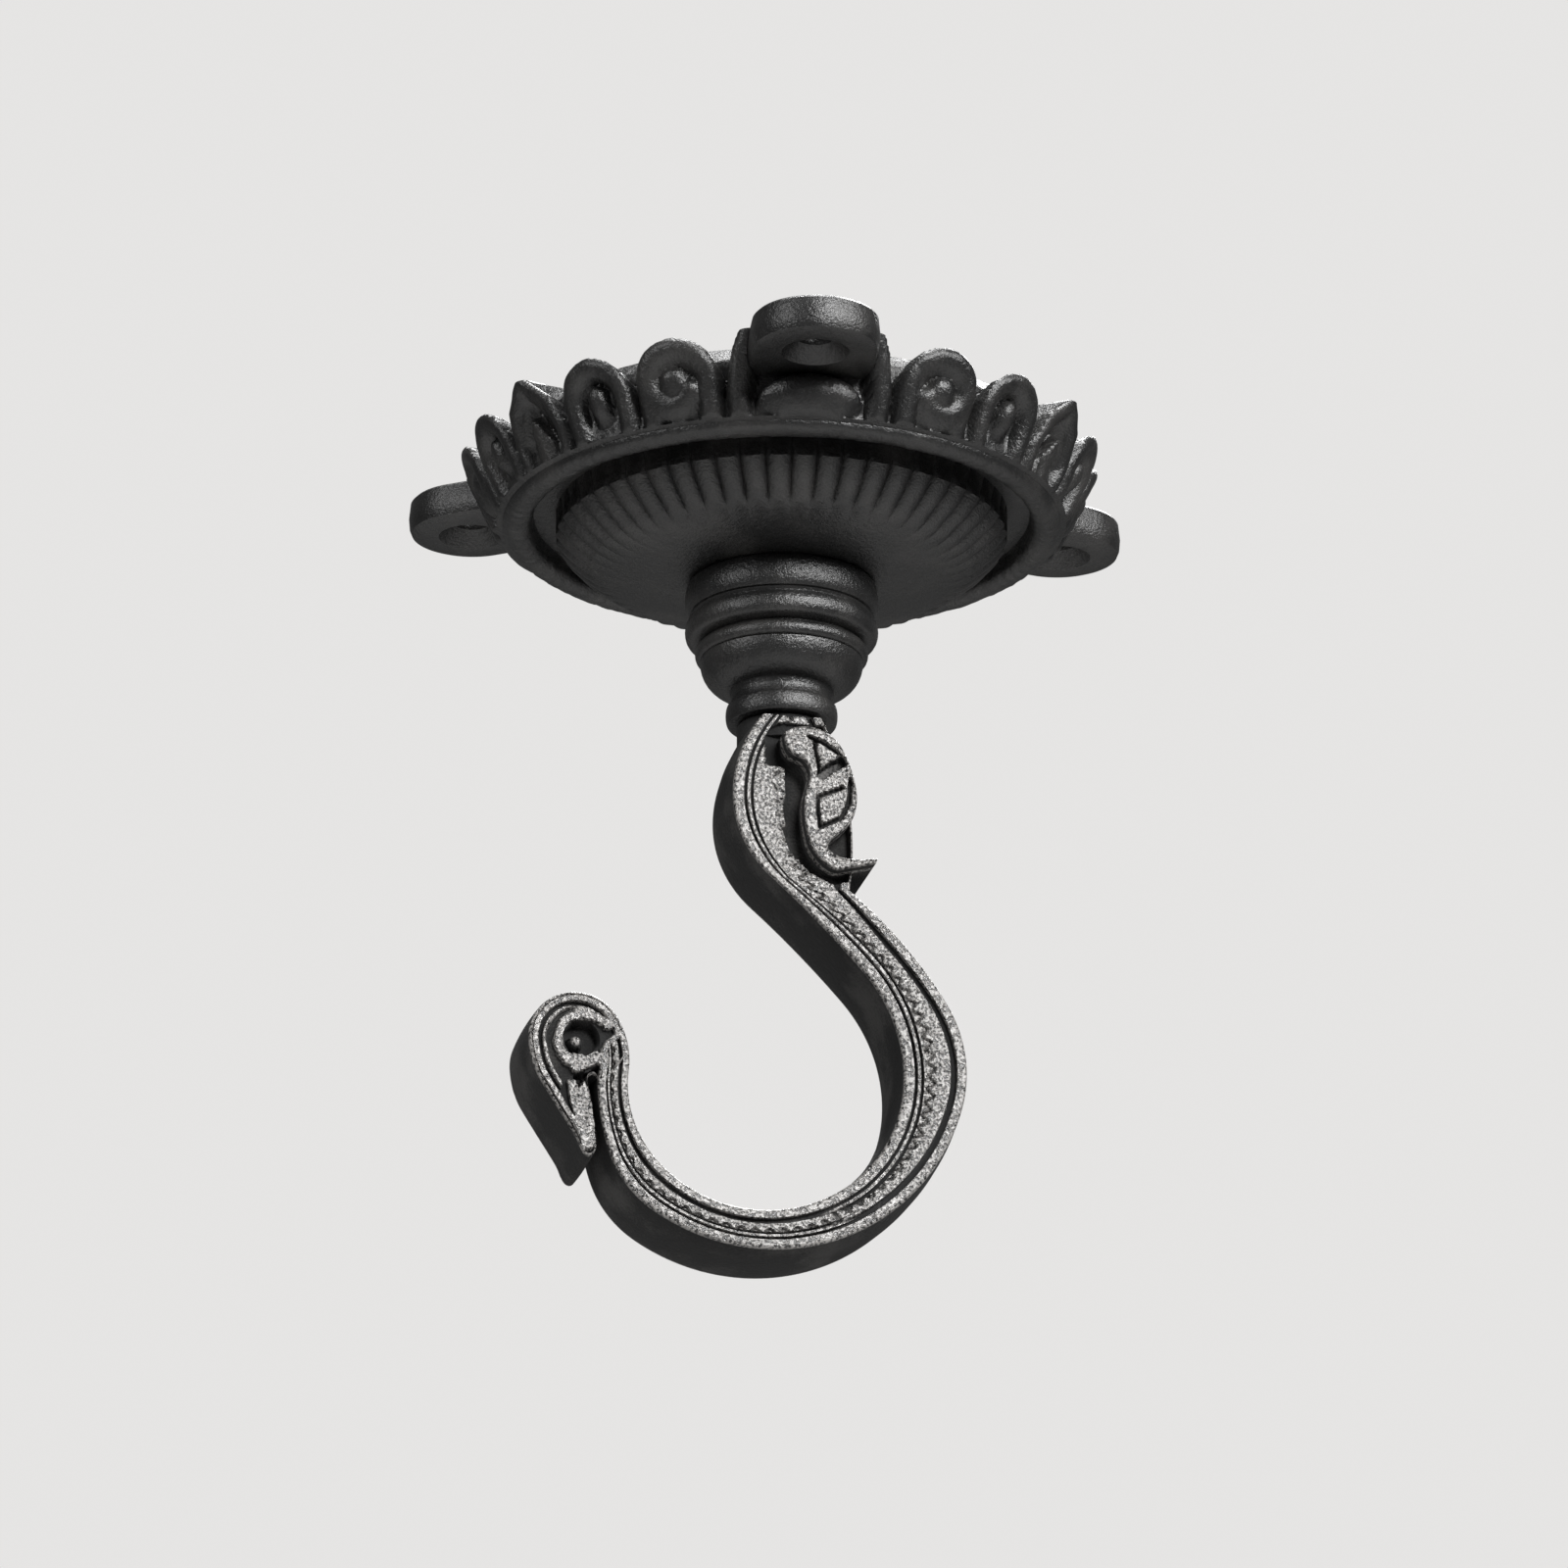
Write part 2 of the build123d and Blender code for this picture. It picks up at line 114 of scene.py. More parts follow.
def makeBlackIron(name, carved):  # black enamel over sand-cast iron
    iron = {
        "paint": 0.007, "wearAndGlint": 0.022, "wornGrain": 0.35, "wornRange": (0.62, 0.86), "patch": 9,
        "rough": 0.27, "roughSpread": 0.16, "specular": 0.6,
        "grain": 0.3, "grainShare": 0.8, "pits": 0.8, "pitShare": 0.4, "bump": 0.13,
        # the lighter grey for the proud sand grains of the carved faces is a painted glint colour
        "sand": 0.4, "sandRange": (0.34, 0.6), "sandRough": 0.12, "sandGlint": 0.27, "sandBump": 0.078,
        "patchShare": 0.12, "recess": 0.62,
        "faceFrom": (6.25, 6.55), "faceTo": (7.3, 7.6), "leafFrom": (8.5, 8.95),  # out from the middle of the casting
    }
    finish = Finish(bpy.data.materials.new(name))
    grain = finish.noise(iron["grain"], 3)
    pits = finish.node("ShaderNodeTexVoronoi", {"feature": "SMOOTH_F1"}, {
        "Vector": finish.place(), "Scale": 1 / (iron["pits"] * mm), "Smoothness": 0.6,
    })
    patches = finish.noise(iron["patch"], 3)
    roughness = iron["rough"] + iron["roughSpread"] * patches
    wearAndGlint = finish.ramp(patches + iron["wornGrain"] * grain, *iron["wornRange"])
    height = (grain * iron["grainShare"] + pits * iron["pitShare"]) * (iron["bump"] * mm)
    wearAndGlintGrey = iron["wearAndGlint"]
    if carved:  # paint lies matt in the hollows of both faces, and the sand grains of what stands proud are bumped and given a lighter grey as painted glints
        # carved faces: the lighter grey is a painted glint colour for the proud sand grains, in place of the wear grey
        wearAndGlintGrey = iron["sandGlint"]
        across = finish.node("ShaderNodeSeparateXYZ", None, {"Vector": finish.place()}, 1)
        depth = finish.node("ShaderNodeMath", {"operation": "ABSOLUTE"}, {0: across})
        levels = (iron["faceFrom"], iron["faceTo"], iron["leafFrom"])
        faceFrom, faceTo, leafFrom = (finish.ramp(depth, low * mm, high * mm) for low, high in levels)
        proud = faceFrom - faceTo + leafFrom
        sand = finish.ramp(finish.noise(iron["sand"], 1), *iron["sandRange"])
        roughness = roughness + iron["recess"] * (1 - proud) - iron["sandRough"] * proud
        # on carved faces this mix is a little real wear from the patches and mostly painted glints on the proud sand
        # grains
        wearAndGlint = iron["patchShare"] * wearAndGlint + (1 - iron["patchShare"]) * proud * sand
        height = height + proud * sand * (iron["sandBump"] * mm)
    bump = finish.node("ShaderNodeBump", None, {"Strength": 1.0, "Distance": 1.0, "Height": height})
    return finish.surface({
        # black paint, lightened by wear patches, and on the carved faces by painted glints on the proud sand grains
        "Base Color": finish.mixColour(wearAndGlint, greyOf(iron["paint"]), greyOf(wearAndGlintGrey, 0.04)),
        "Roughness": roughness,
        "Specular IOR Level": iron["specular"],
        "Normal": bump,
    })


def makeBrightSteel():  # plain plated steel of the washer and nut
    steel = {
        "plate": 0.42, "dull": 0.24, "dullRange": (0.35, 0.7), "patch": 5,
        "rough": 0.32, "roughSpread": 0.2, "scratch": 0.25, "bump": 0.05,
    }
    finish = Finish(bpy.data.materials.new("platedSteel"))
    scratches = finish.noise(steel["scratch"], 4)
    dulled = finish.ramp(finish.noise(steel["patch"], 2), *steel["dullRange"])
    bump = finish.node("ShaderNodeBump", None, {"Strength": 0.3, "Distance": steel["bump"] * mm, "Height": scratches})
    return finish.surface({
        "Base Color": finish.mixColour(dulled, greyOf(steel["plate"]), greyOf(steel["dull"], 0.04)),
        "Metallic": 1.0,
        "Roughness": steel["rough"] + steel["roughSpread"] * scratches,
        "Normal": bump,
    })


blackIron = makeBlackIron("blackIron", False)
carvedIron = makeBlackIron("carvedIron", True)
platedSteel = makeBrightSteel()
print("finishes ready")


# Mesh helpers
def readPoints(bm):
    return np.array([v.co for v in bm.verts])


def movePoints(bm, points):
    for vert, point in zip(bm.verts, points):
        vert.co = point


crease = math.radians(32)  # steeper turns stay sharp


def finishPiece(bm, name, material, *nodes):
    bmesh.ops.remove_doubles(bm, verts=bm.verts[:], dist=0.002)
    bmesh.ops.dissolve_degenerate(bm, edges=bm.edges[:], dist=0.001)
    bmesh.ops.recalc_face_normals(bm, faces=bm.faces[:])
    bmesh.ops.scale(bm, vec=(mm, mm, mm), verts=bm.verts[:])
    for face in bm.faces:
        face.smooth = True
    for edge in bm.edges:
        edge.smooth = edge.calc_face_angle(0) < crease
    mesh = bpy.data.meshes.new(name)
    bm.to_mesh(mesh)
    bm.free()
    mesh.materials.append(material)
    piece = bpy.data.objects.new(name, mesh)
    bpy.context.scene.collection.objects.link(piece)
    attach(piece, "root")
    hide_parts(*nodes)
    print(name, "made with", len(mesh.polygons), "faces")
    return piece


def gridPlaces(bm, around, rows):  # a flat grid to be rolled up, with the column and row of each of its points
    made = bmesh.ops.create_grid(bm, x_segments=around, y_segments=rows - 1, size=0.5)["verts"]
    grid = np.array([v.co for v in made])
    i = np.rint((grid[:, 0] + 0.5) * around).astype(int) % around
    j = np.rint((grid[:, 1] + 0.5) * (rows - 1)).astype(int)
    return made, i, j


def spinOutline(bm, outline, steps, closed=True):  # a full turn of an outline given as radius and height
    spots = [bm.verts.new((r, 0, z)) for r, z in outline]
    nexts = spots[1:] + spots[:1] if closed else spots[1:]
    chain = [bm.edges.new((a, b)) for a, b in zip(spots, nexts)]
    bmesh.ops.spin(
        bm, geom=spots + chain, cent=(0, 0, 0), axis=(0, 0, 1), angle=2 * math.pi, steps=steps, use_merge=True,
    )


def turn(vector, angle):
    return np.array([
        vector[0] * math.cos(angle) - vector[1] * math.sin(angle),
        vector[0] * math.sin(angle) + vector[1] * math.cos(angle),
    ])


def arcRun(start, heading, ends, step=0.25):  # arcs, each leaving along the end of the last one
    points = [np.array(start, float)]
    heading = np.array(heading, float) / np.hypot(*heading)
    for end in ends:
        here = points[-1]
        chord = np.array(end, float) - here
        reach = np.hypot(*chord)
        half = math.atan2(heading[0] * chord[1] - heading[1] * chord[0], heading @ chord)
        count = max(3, int(reach / step))
        for i in range(1, count + 1):
            part = half * i / count
            length = reach * (math.sin(part) / math.sin(half) if abs(half) > 1e-4 else i / count)
            points.append(here + turn(heading, part) * length)
        heading = turn(heading, 2 * half)
    return np.array(points)


def arcOver(start, middle, end, step=0.25):  # one arc through three points
    a, b, c = (complex(*p) for p in (start, middle, end))
    w = (c - a) / (b - a)
    centre = (b - a) * (w - abs(w) ** 2) / (2j * w.imag) + a
    toStart = a - centre
    sweep = math.atan2(((c - centre) / toStart).imag, ((c - centre) / toStart).real)
    past = math.atan2(((b - centre) / toStart).imag, ((b - centre) / toStart).real)
    if sweep * past < 0 or abs(past) > abs(sweep):
        sweep -= math.copysign(2 * math.pi, sweep)
    count = max(3, int(abs(sweep) * abs(toStart) / step))
    angles = [sweep * i / count for i in range(count + 1)]
    spots = [centre + toStart * complex(math.cos(angle), math.sin(angle)) for angle in angles]
    return np.array([(p.real, p.imag) for p in spots])


def smoothRun(knots, step=0.25):  # a flowing line through all of its knots
    knots = np.array(knots, float)
    ends = np.concatenate([[2 * knots[0] - knots[1]], knots, [2 * knots[-1] - knots[-2]]])
    points = []
    for a, b, c, d in zip(ends[:-3], ends[1:-2], ends[2:-1], ends[3:]):
        for t in np.arange(0, 1, 1 / max(2, int(np.hypot(*(c - b)) / step))):
            bend = (2 * a - 5 * b + 4 * c - d) * t * t
            twist = (3 * b - a - 3 * c + d) * t ** 3
            points.append(0.5 * (2 * b + (c - a) * t + bend + twist))
    return np.array(points + [knots[-1]])


def lengthsAlong(path):
    return np.concatenate([[0], np.cumsum(np.hypot(*np.diff(path, axis=0).T))])


def pointsAt(path, lengths):
    along = lengthsAlong(path)
    return np.stack([np.interp(lengths, along, path[:, 0]), np.interp(lengths, along, path[:, 1])], 1)


def nearestLength(path, spot):
    return lengthsAlong(path)[np.argmin(np.hypot(*(path - np.array(spot)).T))]


def distanceTo(points, path):  # least distance of each point from a line of points
    best = np.full(len(points), 1e9)
    for a, b in zip(path[:-1], path[1:]):
        run = np.array(b, float) - np.array(a, float)
        along = np.clip(((points - a) @ run) / max(run @ run, 1e-12), 0, 1)
        best = np.minimum(best, np.hypot(*(points - a - along[:, None] * run).T))
    return best


def roundRidge(distance, halfWidth):  # 1 on the line, falling to 0 as a half round
    return np.sqrt(np.clip(1 - (distance / halfWidth) ** 2, 0, 1))


def smoothStep(value, low, high):
    t = np.clip((value - low) / (high - low), 0, 1)
    return t * t * (3 - 2 * t)


grainTable = np.random.RandomState(7).rand(97, 97)


def sandGrain(u, v, size):  # smooth lumps of about this size, from 0 to 1
    u, v = u / size, v / size
    i, j = np.floor(u).astype(int), np.floor(v).astype(int)
    fu, fv = u - i, v - j
    fu, fv = fu * fu * (3 - 2 * fu), fv * fv * (3 - 2 * fv)

    def cell(a, b):
        return grainTable[a % 97, b % 97]

    low = cell(i, j) * (1 - fu) + cell(i + 1, j) * fu
    high = cell(i, j + 1) * (1 - fu) + cell(i + 1, j + 1) * fu
    return low * (1 - fv) + high * fv


# Ceiling plate: dome, fluted edge, ring, petal crown and ears
plate = {
    "bore": 4.3, "seat": 11.5, "seatDrop": 20.3, "seatThickness": 4.0,
    "domeRadius": 31.4, "domeDrop": 13.3, "fluteEnd": (26.3, 18.0), "flutes": 54, "fluteDepth": 0.85,
    "grooveFloor": 9.7, "ringInner": 34.8, "ringRadius": 38.8, "ringDrop": 11.5, "ringBulge": 1.1,
    "petalFoot": 39.6, "petalFlare": 44.6, "petalHeight": 10.9, "coreTop": 40.4, "wall": 3.0,
    "steps": 756,
}
petals = {
    "voluteAngle": 25.5, "loopAngle": 43.2, "pointAngle": 60.0, "earClock": -97.2, "measureRadius": 42.0,
    "degreeRun": 0.73, "lumpSize": 1.4, "lumpHeight": 0.16, "gapDraw": 0.09, "gapDrop": 0.22,
}
ear = {"pitch": 48.0, "round": 8.7, "thickness": 5.0, "root": 38.0, "hole": 2.5, "sink": 4.6, "edge": 1.1}


def plateProfile():  # half section, from the bore round the outside and back in
    p = plate
    outline = [(p["bore"], -p["seatDrop"]), (p["seat"], -p["seatDrop"])]
    run, rise = p["domeRadius"] - p["seat"], p["seatDrop"] - p["domeDrop"]
    for angle in range(-82, -42, 8):
        a = math.radians(angle)
        outline.append((p["seat"] + run * math.cos(a), -p["domeDrop"] + rise * math.sin(a)))
    for i in range(17):
        share = i / 16
        outline.append((
            p["fluteEnd"][0] + (p["domeRadius"] - p["fluteEnd"][0]) * share + 0.5 * math.sin(share * math.pi),
            -p["fluteEnd"][1] + (p["fluteEnd"][1] - p["domeDrop"]) * share,
        ))
    outline += [(p["domeRadius"], -p["domeDrop"] + 1), (p["domeRadius"], -p["grooveFloor"])]
    outline += [(p["ringInner"] - 0.3, -p["grooveFloor"]), (p["ringInner"], -p["grooveFloor"] - 0.5)]
    middle = (p["ringRadius"] + p["ringInner"]) / 2
    for angle in range(180, 361, 15):
        outline.append((
            middle + (p["ringRadius"] - middle) * math.cos(math.radians(angle)),
            -p["ringDrop"] + 0.3 + (p["ringBulge"] + 0.3) * math.sin(math.radians(angle)),
        ))
    for i in range(37):
        share = i / 36
        outline.append((
            p["petalFoot"] + (p["petalFlare"] - p["petalFoot"]) * share,
            -p["petalHeight"] * (1 - share),
        ))
    inner = p["coreTop"] - p["wall"]
    shelf = -p["grooveFloor"] + p["wall"]
    outline += [(inner, 0), (inner, shelf), (p["domeRadius"] - p["wall"], shelf)]
    floor = -p["seatDrop"] + p["seatThickness"]
    for angle in range(-15, -90, -15):
        outline.append((
            p["seat"] + (p["domeRadius"] - p["wall"] - p["seat"]) * math.cos(math.radians(angle)),
            shelf + (floor + p["grooveFloor"] - p["wall"]) * -math.sin(math.radians(angle)),
        ))
    outline += [(p["seat"], floor), (p["bore"], floor)]
    return outline


# Each petal is drawn flat, in millimetres across and up from the ring: an outlined ground with its level,
# ridges (line, half width, top), lobes (middle, half width, half height, top) and grooves (line, half width, depth)
def voluteMotif():  # a fat rolled leaf: its rim climbs, turns over and curls in on a lobe
    curl = []
    for i in range(34):
        share = i / 33
        angle = math.radians(200 - 350 * share)
        radius = 4.6 - 2.2 * smoothStep(np.array(share), 0.4, 1.0)
        curl.append((radius * math.cos(angle) + 0.4 * share, 4.7 + radius * 0.93 * math.sin(angle)))
    return {
        "ground": ([(-5.8, -1), (-6.2, 4.4), (-5.0, 7.7), (0, 9.7), (5.0, 7.7), (6.2, 4.4), (5.8, -1)], -0.9),
        "ridges": [
            ([(-4.2, -1), (-4.6, 2.5)] + curl, 2.0, 0.8),
            ([(4.6, -1), (4.9, 4.0)], 1.6, 0.3),
            ([(0.8, -1), (0.5, 2.6)], 2.1, 0.0),
        ],
        "lobes": [((0.5, 4.7), 2.5, 2.6, 1.0)],
        "grooves": [],
    }


def loopMotif():  # a round arch with a bead standing in it
    arch = [(-4.2, -1), (-4.4, 2.5)]
    arch += [(4.4 * math.cos(math.radians(a)), 4.6 + 4.4 * math.sin(math.radians(a))) for a in range(180, -1, -12)]
    arch += [(4.4, 2.5), (4.2, -1)]
    return {
        "ground": ([(-4.8, -1), (-5.2, 4), (-3.6, 8.3), (0, 9.6), (3.6, 8.3), (5.2, 4), (4.8, -1)], -1.9),
        "ridges": [(arch, 1.65, 0.45)],
        "lobes": [((0.0, 4.7), 1.7, 2.4, 0.3), ((0.0, 0.2), 3.0, 1.5, -0.7)],
        "grooves": [],
    }


def pointMotif():  # a pointed leaf with a chevron groove and an inner leaf
    side = [(-4.6, -1), (-5.0, 3.2), (-3.7, 7.2), (0, 10.2)]
    edge = side + [(-x, y) for x, y in reversed(side[:-1])]
    chevron = [(-3.0, -1), (-3.1, 2.6), (0, 7.4), (3.1, 2.6), (3.0, -1)]
    return {
        "ground": (edge, -0.55),
        "ridges": [(edge, 1.3, 0.35), ([(0, -1), (0, 4.6)], 2.3, 0.1)],
        "lobes": [],
        "grooves": [(chevron, 0.75, 1.7)],
    }


def earMotif():  # cushion under the ear, between the two rolls that carry it
    roll = [(9.9, -1), (10.2, 3.5), (9.3, 8.0), (8.0, 10.9)]
    return {
        "ground": ([(-11.2, -1), (-11.6, 10.9), (11.6, 10.9), (11.2, -1)], -4.2),
        "ridges": [([(-x, y) for x, y in roll], 1.75, 0.9), (roll, 1.75, 0.9)],
        "lobes": [((0.0, 2.2), 8.4, 3.9, 1.2)],
        "grooves": [],
    }


def insideOf(points, loop):  # whether each point is inside a closed outline
    inside = np.zeros(len(points), bool)
    loop = np.array(loop, float)
    for (ax, ay), (bx, by) in zip(loop, np.roll(loop, -1, 0)):
        crosses = (ay > points[:, 1]) != (by > points[:, 1])
        inside ^= crosses & (points[:, 0] < (bx - ax) * (points[:, 1] - ay) / (by - ay + 1e-12) + ax)
    return inside


def motifHeight(points, motif, low):  # height over the flare that each point of a petal stands at
    outline, level = motif["ground"]
    height = np.where(insideOf(points, outline), level, low)
    for path, width, top in motif["ridges"]:
        ridge = roundRidge(distanceTo(points, path), width)
        height = np.where(ridge > 0, np.maximum(height, top - width * 1.2 * (1 - ridge)), height)
    for (x, y), across, tall, top in motif["lobes"]:
        dome = roundRidge(np.hypot((points[:, 0] - x) / across, (points[:, 1] - y) / tall), 1.0)
        height = np.where(dome > 0, np.maximum(height, top - min(across, tall) * (1 - dome)), height)
    for path, width, depth in motif["grooves"]:
        height -= depth * roundRidge(distanceTo(points, path), width)
    return height


def carveCrown(points):  # moves the flared wall's points in and out to form the petals
    p, q = plate, petals
    radius = np.hypot(points[:, 0], points[:, 1])
    slope = p["petalFoot"] + (p["petalFlare"] - p["petalFoot"]) * (1 + points[:, 2] / p["petalHeight"])
    wall = (abs(radius - slope) < 0.01) & (points[:, 2] > -p["petalHeight"] + 0.05) & (radius > p["petalFoot"])
    angle = np.degrees(np.arctan2(points[:, 1], points[:, 0]))
    local = (angle - q["earClock"] + 60) % 120 - 60
    rise = points[:, 2] + p["petalHeight"]
    core = p["ringRadius"] + (p["coreTop"] - p["ringRadius"]) * rise / p["petalHeight"] + 0.15
    low = core - slope
    best = low.copy()
    motifs = [(0.0, 1, earMotif())]
    for side in (-1, 1):
        motifs.append((side * q["voluteAngle"], side, voluteMotif()))
        motifs.append((side * q["loopAngle"], side, loopMotif()))
        motifs.append((side * q["pointAngle"], side, pointMotif()))
    for centre, side, motif in motifs:
        across = np.radians(local - centre) * q["measureRadius"] * side
        near = wall & (abs(across) < 13)
        spots = np.stack([across[near], rise[near]], 1)
        best[near] = np.maximum(best[near], motifHeight(spots, motif, low[near]))
    lumps = sandGrain(angle * q["degreeRun"], rise, q["lumpSize"]) - 0.5
    gap = wall & (best < low + 0.4)
    out = np.where(wall, best + q["lumpHeight"] * lumps - np.where(gap, q["gapDraw"] * rise, 0), 0)
    points[:, 2] -= np.where(gap, q["gapDrop"] * rise, 0)
    points[:, 0] += points[:, 0] / radius * out
    points[:, 1] += points[:, 1] / radius * out
    return points


def carveFlutes(points):
    p = plate
    radius = np.hypot(points[:, 0], points[:, 1])
    angle = np.arctan2(points[:, 1], points[:, 0])
    under = (points[:, 2] < -p["domeDrop"] + 1.1) & (radius > p["seat"] + 4) & (radius < p["domeRadius"] + 0.01)
    reach = smoothStep(radius, p["fluteEnd"][0] - 2.6, p["fluteEnd"][0] + 2.4)
    wave = abs(np.sin(angle * p["flutes"] / 2)) ** 0.7
    cut = np.where(under, p["fluteDepth"] * reach * (1 - wave), 0)
    points[:, 0] -= points[:, 0] / radius * cut * 0.8
    points[:, 1] -= points[:, 1] / radius * cut * 0.8
    points[:, 2] += cut * 0.6
    crest = (points[:, 2] < -p["ringDrop"]) & (radius > p["ringInner"])
    points[:, 2] += np.where(crest, 0.22 * (sandGrain(angle * 38, radius, 0.9) - 0.5), 0)
    return points


def earRing(radius, level):  # round in front, straight sides running back into the crown behind
    ring = []
    for i in range(96):
        angle = 2 * math.pi * i / 96
        across, along = math.sin(angle), math.cos(angle)
        reach = radius
        if radius > ear["sink"] and along < 0:
            reach = min(radius / max(abs(across), 1e-6), (ear["pitch"] - ear["root"]) / -along)
        ring.append((reach * along, reach * across, level))
    return ring


def addEar(bm, direction):
    radius, low, edge = ear["round"], -ear["thickness"], ear["edge"]
    levels = [
        (ear["hole"], 0), (radius - 0.5, 0), (radius - 0.1, -0.4), (radius + 0.12, low / 2), (radius, low + edge),
        (radius - 0.3, low + 0.35), (radius - edge, low), (ear["sink"], low),
        (ear["hole"], low + ear["sink"] - ear["hole"]), (ear["hole"], 0),
    ]
    rings = [earRing(size, level) for size, level in levels]
    made, column, row = gridPlaces(bm, len(rings[0]), len(rings))
    for vert, i, j in zip(made, column, row):
        vert.co = rings[j][i]
    place = Matrix.Rotation(math.radians(direction), 4, "Z") @ Matrix.Translation((ear["pitch"], 0, 0))
    bmesh.ops.transform(bm, matrix=place, verts=made)


def makePlate():
    bm = bmesh.new()
    spinOutline(bm, plateProfile(), plate["steps"])
    movePoints(bm, carveFlutes(carveCrown(readPoints(bm))))
    foot, inside = 0.3 - plate["petalHeight"], plate["ringRadius"] + 0.2
    petalVerts = [v for v in bm.verts if v.co.z > foot and v.co.xy.length > inside]
    bmesh.ops.smooth_vert(bm, verts=petalVerts, factor=0.5, use_axis_x=True, use_axis_y=True, use_axis_z=True)
    for i in range(3):
        addEar(bm, petals["earClock"] + 120 * i)
    return finishPiece(bm, "ceilingPlate", blackIron, "ceiling_plate")


makePlate()

# Spool: turned collar under the dome
spool = {
    "bore": 4.3, "top": -20.3, "radius": 13.4, "groove": 0.7, "band": 4.7, "bead": 3.2,
    "smallRadius": 12.0, "smallBead": 2.0, "bowlRadius": 11.3, "bowl": 4.6,
    "neckRadius": 7.2, "neck": 2.0, "footRadius": 7.75, "foot": 3.0, "steps": 160,
}


def beadProfile(radius, top, height, bulge):  # a half-round bead with a small fillet at each side
    steps = [math.radians(a) for a in range(90, -91, -18)]
    return [(radius - bulge + bulge * math.cos(a) ** 0.8, top - height / 2 + height / 2 * math.sin(a)) for a in steps]


def makeSpool():
    s = spool
    outline = [(s["bore"], s["top"]), (s["radius"] - 0.9, s["top"])]
    level = s["top"]
    outline += beadProfile(s["radius"], level, s["band"], 0.9)
    level -= s["band"] + s["groove"]
    outline.append((s["radius"] - 1.1, level + s["groove"] / 2))
    outline += beadProfile(s["radius"], level, s["bead"], 1.0)
    level -= s["bead"] + s["groove"]
    outline.append((s["smallRadius"] - 0.9, level + s["groove"] / 2))
    outline += beadProfile(s["smallRadius"], level, s["smallBead"], 0.8)
    level -= s["smallBead"]
    span = s["bowlRadius"] - s["neckRadius"]
    for angle in range(0, 91, 9):
        outline.append((
            s["neckRadius"] + span * math.cos(math.radians(angle)),
            level - 0.15 - (s["bowl"] - 0.15) * math.sin(math.radians(angle)),
        ))
    level -= s["bowl"]
    for i in range(1, 6):
        outline.append((s["neckRadius"] - 0.25 * math.sin(i / 6 * math.pi), level - s["neck"] * i / 6))
    level -= s["neck"]
    outline += beadProfile(s["footRadius"], level, s["foot"], 0.55)
    outline.append((s["bore"], level - s["foot"]))
    bm = bmesh.new()
    spinOutline(bm, outline, s["steps"])
    return finishPiece(bm, "spoolCollar", blackIron, "spool_collar")


makeSpool()

# Hook casting: the S with its relief, the bird's head, the leaf and the stud
hook = {
    "top": -42.1, "thickness": 14.0, "edge": 0.5, "bulge": 0.45, "columns": 18, "rows": 570,
    "knots": [0, 0.25, 0.55, 0.85, 0.95, 1.05, 1.2, 1.37, 1.47, 1.66, 1.85, 1.95, 2.1, 2.27, 2.37],
    "rim": 1.0, "groove": 0.42, "line": 0.48, "plainRim": 0.9, "wideGroove": 0.85, "grooveDepth": 0.9,
    "lineCrosses": (0.6, 0.67), "rimCrown": 0.07,
    "panelDrop": 0.16, "leastDrop": 0.03, "grainSize": 0.8, "grainHeight": 0.2,
    "vineTurns": 68, "vineDepth": 0.5, "vineWidth": 0.26, "vinePlace": 0.86, "vineSwing": 0.13, "vineFrom": 2.6,
    "channelDepth": 1.9, "channelWall": 0.35, "channelInset": 0.9, "channelEnd": 0.25,
    "headFrom": 0.9, "headHeight": -54.7, "headDrop": 1.8,
}
throatEnds = [
    (-8.3, -12.1), (-3.0, -23.5), (9.9, -36.3), (15.6, -51.7), (-4.1, -71.8), (-17.7, -66.8), (-22.7, -53.2),
    (-24.6, -45.3), (-29.7, -42.5), (-36.6, -49.6), (-35.5, -54.4), (-30.3, -64.8), (-28.4, -64.4),
]
throatPath = arcRun((-4.2, 0), (-0.62, -0.78), throatEnds)
backEnds = [(-25.3, -65.1), (-19.2, -72.9), (-3.8, -77.3), (12.4, -71.9), (23.9, -54.8), (21.5, -39.9), (8.1, -24.9)]
backPath = np.concatenate([
    arcOver((4.2, 0), (8.0, -12.0), (8.1, -24.9)),
    arcRun((-27.0, -54.8), (0, -1), backEnds)[::-1][1:],
    [(-26.8, -53.6), (-26.6, -52.2), (-26.6, -50.8)],
])
stationPairs = [
    ((-4.2, 0), (4.2, 0)), ((-8.3, -12.1), (8.0, -12.0)), ((-3.0, -23.5), (8.1, -24.9)), ((9.9, -36.3), (15.2, -31.8)),
    ((15.6, -51.7), (24.3, -51.0)), ((-4.1, -71.8), (-3.8, -77.3)), ((-17.7, -66.8), (-20.5, -71.9)),
    ((-22.7, -53.2), (-27.0, -54.8)), ((-23.6, -47.4), (-26.6, -50.8)),
]
leaf = {
    "rows": 120, "columns": 28, "edge": 0.45, "proud": 2.4, "drop": 0.14, "cutWall": 0.2,
    "stemDrop": 0.4, "stemWidth": 0.85, "stemReach": 1.1, "stemFrom": -6.4,
}
leafLeft = smoothRun([
    (-1.7, -3.3), (-1.4, -5.2), (-0.6, -6.3), (1.2, -7.2), (2.0, -9.2), (1.2, -13.0), (1.4, -16.9), (2.5, -20.2),
    (5.2, -22.7), (8.0, -22.3), (11.2, -21.5),
])
leafRight = smoothRun([
    (-1.7, -3.3), (0.5, -2.3), (3.4, -2.5), (6.0, -4.3), (7.8, -8.0), (8.6, -12.2), (7.7, -15.8), (4.7, -18.9),
    (4.9, -20.2), (6.4, -20.9), (8.6, -21.1), (11.4, -20.8),
])
